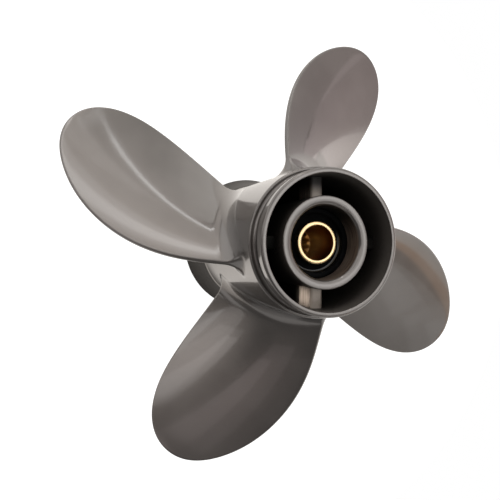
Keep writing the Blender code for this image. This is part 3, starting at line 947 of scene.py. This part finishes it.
def makeBrass():
    # turned brass with fine rings round the shaft, browner where it has tarnished
    # the bore is bright deep down as a painted highlight and browner towards its mouth, with painted shade
    # near its mouth and at its upper side
    s = brass
    material, tree, shader = newMaterial("turnedBrass", Metallic=1)
    place = addNode(tree, "TexCoord", -1100, 450)
    rings = addNode(tree, "TexWave", -900, 450, wave_type="RINGS", rings_direction="Z")
    rings.inputs["Scale"].default_value = s["grooves"]
    rings.inputs["Distortion"].default_value = s["grooveWander"]
    tree.links.new(place.outputs["Object"], rings.inputs["Vector"])
    grain = useEffect(tree, "grain", -900, 200, Grain_Scale=1800, Wave_Scale=110, Wave_Share=0.85)
    wear = useEffect(tree, "wear", -900, 0, Start=0.52, Full=0.62, Breakup_Scale=900)
    dust = useEffect(tree, "dust", -900, -200, Speck_Scale=500, Speck_Size=0.08, Rarity=0.9)
    bore = useEffect(tree, "zone", -900, -400, Outer=(sleeve["counterbore"] + zoneMargin) * mm,
                     High=(sleeveRear - zoneMargin) * mm).outputs["Mask"]
    height, upward = alongSide(tree, -1100, 650, (0, 0, 1)), alongSide(tree, -1100, 950, (0, 1, 0))
    deep = softStep(tree, -900, 650, height, 1, 0, s["deepFull"] * mm, s["deepEnd"] * mm)
    tarnish = softStep(tree, -750, 350, grain.outputs["Height"], s["tarnish"], 0)
    # the bore is bright deep down as a painted highlight, and browner towards the mouth
    boreBrowning = softStep(tree, -750, 500, deep, 1, 0, 0, 1)
    tone = mixColour(tree, -600, 200, mixValue(tree, -650, 300, bore, tarnish, boreBrowning),
                     mixColour(tree, -700, 100, bore, s["bright"], s["glow"]), s["brown"])
    # painted shade near the bore's mouth and at its upper side
    outer = softStep(tree, -900, 800, height, 0, 1, s["outerStart"] * mm, s["outerFull"] * mm)
    upper = softStep(tree, -900, 950, upward, 0, 1, s["upperStart"] * mm, s["upperFull"] * mm)
    boreShade = addMath(tree, "MULTIPLY", -600, 700, addMath(tree, "MAXIMUM", -700, 800, outer, upper), bore)
    tone = mixColour(tree, -500, 200, boreShade, tone, s["boreShade"])
    rubbed = mixColour(tree, -450, 150, wear.outputs["Mask"], tone, s["rubbed"])
    dusty = mixColour(tree, -300, 100, dust.outputs["Mask"], rubbed, s["brown"])
    tree.links.new(dusty, shader.inputs["Base Color"])
    rough = softStep(tree, -450, -100, grain.outputs["Tone"], s["roughLow"], s["roughHigh"])
    boreRough = mixValue(tree, -450, -250, deep, s["roughBore"], s["roughDeep"])
    tree.links.new(mixValue(tree, -300, -100, bore, rough, boreRough), shader.inputs["Roughness"])
    addBump(tree, shader, rings.outputs["Fac"], s["grooveDepth"], s["grooveStrength"])
    return material


finishes = [
    (paintPieces, makePaint()),
    (webPieces[0::2], makeWebPaint()),
    # the side webs are painted black as painted shade
    (webPieces[1::2], makeShadedWebPaint()),
    (rubberPieces, makeRubber()),
    (brassPieces, makeBrass()),
]
for pieces, material in finishes:
    for piece in pieces:
        piece.data.materials.append(material)
print("materials placed")


# floor and studio light: a ring of soft panels with dark gaps between them, round a dark room

studio = {  # lengths in metres
    "room": 0.15,
    "seenWhite": 1,
    "target": 0.06,
    "panelsAway": 8,
    "floorRadius": 0.21,
    "floorSides": 96,
    "floorColour": (0.3, 0.3, 0.3),
    "floorGlow": 0.96,
    "poolTint": (1.02, 0.97, 0.91),
    "poolInner": 0.11,
    "poolOuter": 0.21,
    "poolEdge": 0.62,
    "hubShadow": (-0.009, -0.011, 0),
    "shadowInner": 0.031,
    "shadowOuter": 0.04,
    "hubFoot": 0.036,
}

# the tints of the light, and the panels: each runs from a low to a high direction
tints = {
    "white": (1, 1, 1),
    "soft": (1.03, 1, 0.97),
    "amber": (1.5, 0.8, 0.4),
    "ivory": (1, 1, 0.97),
    "cream": (1.04, 1, 0.94),
    "rose": (1.12, 0.94, 0.94),
    "blush": (1.1, 0.95, 0.94),
    "pale": (1.02, 1, 0.97),
    "sand": (1.04, 0.99, 0.95),
    "shell": (1.04, 0.99, 0.97),
}
panels = {  # (azimuth, height) of the low and the high end, width, all in degrees, glow, tint
    "overhead": ((45, 57), (45, 92), 38, 1.25, "white"),
    "face": ((0, 54), (0, 70), 19, 1.9, "white"),
    "lowerRight": ((-76, -5), (-76, 44), 46, 0.52, "soft"),
    "lowerRightMid": ((-66, -20), (-65, 38), 22, 0.17, "white"),
    "lowerRightNear": ((-62, -20), (-61, 34), 14, 0.25, "white"),
    "lowerRightCap": ((-50, 36), (-50, 47), 24, 0.28, "white"),
    "lowerRightCapTop": ((-48, 39), (-48, 47), 15, 0.36, "white"),
    "lowerRightFoot": ((-50, -20), (-50, 11), 10, 0.8, "white"),
    "warmEdge": ((-43.4, 4), (-45.8, 39), 3.2, 0.5, "amber"),
    "warmSoft": ((-42.8, 4), (-45.1, 39), 5.5, 0.14, "amber"),
    "right": ((-27, -25), (-27, 46), 30, 1.05, "ivory"),
    "rightPatch": ((1, -21), (-11, 15), 13, 0.95, "cream"),
    "rightPatchTop": ((-1, -18), (-9, 19), 11, 0.35, "white"),
    "rightDim": ((1, -11), (1, 48), 27, 0.66, "rose"),
    "rightFoot": ((9.4, -22), (9.4, -10.8), 9.2, 0.66, "rose"),
    "rightEdge": ((20.8, -24), (20.8, 48), 13.5, 0.46, "blush"),
    "rightBand": ((12, 7), (3, 19), 9, 0.12, "rose"),
    "upperRight": ((51, -25), (49, 58), 48, 0.67, "pale"),
    "upperRightLow": ((51, -25), (51, 8), 48, 0.2, "pale"),
    "upperRightMid": ((51, -25), (50, 14), 46, 0.18, "pale"),
    "upperRightSoft": ((51, -25), (50, 20), 44, 0.15, "pale"),
    "upper": ((89, -25), (85, 58), 23, 1, "sand"),
    "band": ((93, 4), (84, 46), 7.5, 1.1, "white"),
    "bandCore": ((93, 4), (84.8, 46), 3.4, 2.3, "white"),
    "frameSide": ((78.2, -3), (69.2, 32), 1.3, 5.6, "white"),
    "frameSoft": ((78.2, -3), (69.2, 32), 3.6, 0.5, "white"),
    "frameBend": ((69.2, 32), (68, 33.8), 1.2, 3, "white"),
    "frameTop": ((68.2, 34.2), (70.2, 36.2), 1.2, 2, "white"),
    "frameEnd": ((70.2, 36.2), (73.4, 38.4), 1.3, 1.8, "white"),
    "upperLeft": ((123, -25), (123, 50), 45, 1.1, "white"),
    "left": ((153, 13), (153, 59), 17, 0.85, "shell"),
    "leftHigh": ((160, 27), (158, 60), 15, 0.6, "shell"),
    "leftCrest": ((165, 32), (163, 60), 7, 0.85, "shell"),
    "leftLow": ((170, -18), (170, 9), 24, 0.75, "white"),
    "lowerLeft": ((-131, -25), (-131, 12), 38, 0.55, "white"),
    "leftSoft": ((193, 40), (191, 63), 7, 0.4, "blush"),
    "leftSofter": ((200, 33), (195, 63), 14, 0.25, "blush"),
    "leftSoftest": ((206, 38), (201, 63), 24, 0.1, "blush"),
}


def reachFrom(tree, x, y, place, centre):
    away = addNode(tree, "VectorMath", x, y, operation="DISTANCE")
    tree.links.new(place, away.inputs[0])
    away.inputs[1].default_value = centre
    return away.outputs["Value"]


def makeFloor():
    # white to the camera; in reflections it is a pool of light, with the soft shadow of the hub in it
    # it gives no light under the hub
    s = studio
    bm = bmesh.new()
    bmesh.ops.create_circle(bm, cap_ends=True, segments=s["floorSides"], radius=s["floorRadius"])
    mesh = bpy.data.meshes.new("floor")
    bm.to_mesh(mesh)
    bm.free()
    floor = bpy.data.objects.new("floor", mesh)
    bpy.context.scene.collection.objects.link(floor)
    material, tree, shader = newMaterial("whiteFloor", Roughness=0.9)
    shader.inputs["Base Color"].default_value = (*s["floorColour"], 1)
    place = addNode(tree, "TexCoord", -1300, 0).outputs["Object"]
    middle = reachFrom(tree, -1100, 0, place, (0, 0, 0))
    pool = softStep(tree, -900, 0, middle, s["floorGlow"], s["poolEdge"], s["poolInner"], s["poolOuter"])
    hub = reachFrom(tree, -1100, -200, place, s["hubShadow"])
    shadow = softStep(tree, -900, -200, hub, 0, 1, s["shadowInner"], s["shadowOuter"])
    lit = addMath(tree, "MULTIPLY", -700, 100, pool, shadow)
    ray = addNode(tree, "LightPath", -700, 500)
    seen = mixValue(tree, -500, 200, ray.outputs["Is Camera Ray"], lit, s["seenWhite"])
    tint = mixColour(tree, -300, 300, ray.outputs["Is Camera Ray"], s["poolTint"], (1, 1, 1))
    tree.links.new(tint, shader.inputs["Emission Color"])
    beyond = addMath(tree, "GREATER_THAN", -700, -300, middle, s["hubFoot"])
    tree.links.new(addMath(tree, "MULTIPLY", -300, 0, beyond, seen), shader.inputs["Emission Strength"])
    mesh.materials.append(material)


def makeRoom():
    # the room itself is dark, and the camera sees it white
    s = studio
    world = bpy.data.worlds.new("room")
    world.use_nodes = True
    bpy.context.scene.world = world
    tree = world.node_tree
    ray = addNode(tree, "LightPath", -500, 300)
    seen = mixValue(tree, -250, 100, ray.outputs["Is Camera Ray"], s["room"], s["seenWhite"])
    tree.links.new(seen, tree.nodes["Background"].inputs["Strength"])
    tree.nodes["Background"].inputs["Color"].default_value = (1, 1, 1, 1)


def towards(azimuth, height):
    turn, lift = math.radians(azimuth), math.radians(height)
    out = Vector((math.cos(lift) * math.cos(turn), math.cos(lift) * math.sin(turn), math.sin(lift)))
    return out * studio["panelsAway"]


def addLamp(name, wide, tall, glow, tint):
    light = bpy.data.lights.new(name, "AREA")
    light.shape = "RECTANGLE"
    light.size, light.size_y = wide, tall
    light.energy = glow * math.pi * light.size * light.size_y
    light.color = tint
    lamp = bpy.data.objects.new(name, light)
    lamp.visible_camera = False
    bpy.context.scene.collection.objects.link(lamp)
    return lamp


def makePanel(name, lowEnd, highEnd, wide, glow, tint):
    low, high = towards(*lowEnd), towards(*highEnd)
    middle = (low + high) / 2
    across = 2 * middle.length * math.tan(math.radians(wide / 2))
    lamp = addLamp(name, across, (high - low).length, glow, tints[tint])
    up = (high - low).normalized()
    side = up.cross(middle).normalized()
    turn = Matrix((side, up, side.cross(up))).transposed().to_4x4()
    lamp.matrix_world = Matrix.Translation(middle + Vector((0, 0, studio["target"]))) @ turn


# light that comes up through the lower left passage and falls on the web beside it; lengths in millimetres
passageLamp = {"place": (-8.5, -24.5, 89.5), "wide": 7, "tall": 11, "glow": 2.1, "tint": (1, 0.92, 0.86),
               "spread": 90}


def makePassageLamp():
    s = passageLamp
    lamp = addLamp("passageLamp", s["tall"] * mm, s["wide"] * mm, s["glow"], s["tint"])
    lamp.data.spread = math.radians(s["spread"])
    lamp.visible_glossy = False
    turn = Matrix.Rotation(-math.pi / 2, 4, "Y")
    lamp.matrix_world = Matrix.Translation(Vector(s["place"]) * mm) @ turn


makeFloor()
makeRoom()
makePassageLamp()
for name, facts in panels.items():
    makePanel(name, *facts)
bpy.context.scene.view_settings.view_transform = "Standard"
print("studio made:", len(panels), "panels")


# camera at the photograph's place

view = {  # place in metres, turn in degrees about X, Y and Z
    "place": (-0.09388, -0.00193, 0.28306),
    "turn": (-0.396, -18.667, 0.127),
    "lens": 34.2,
    "nearClip": 0.01,
}


def makeCamera():
    camera = bpy.data.objects.new("camera", bpy.data.cameras.new("camera"))
    camera.data.lens = view["lens"]
    camera.data.clip_start = view["nearClip"]
    turn = Euler([math.radians(angle) for angle in view["turn"]])
    camera.matrix_world = Matrix.LocRotScale(Vector(view["place"]), turn, None)
    bpy.context.scene.collection.objects.link(camera)
    bpy.context.scene.camera = camera


makeCamera()
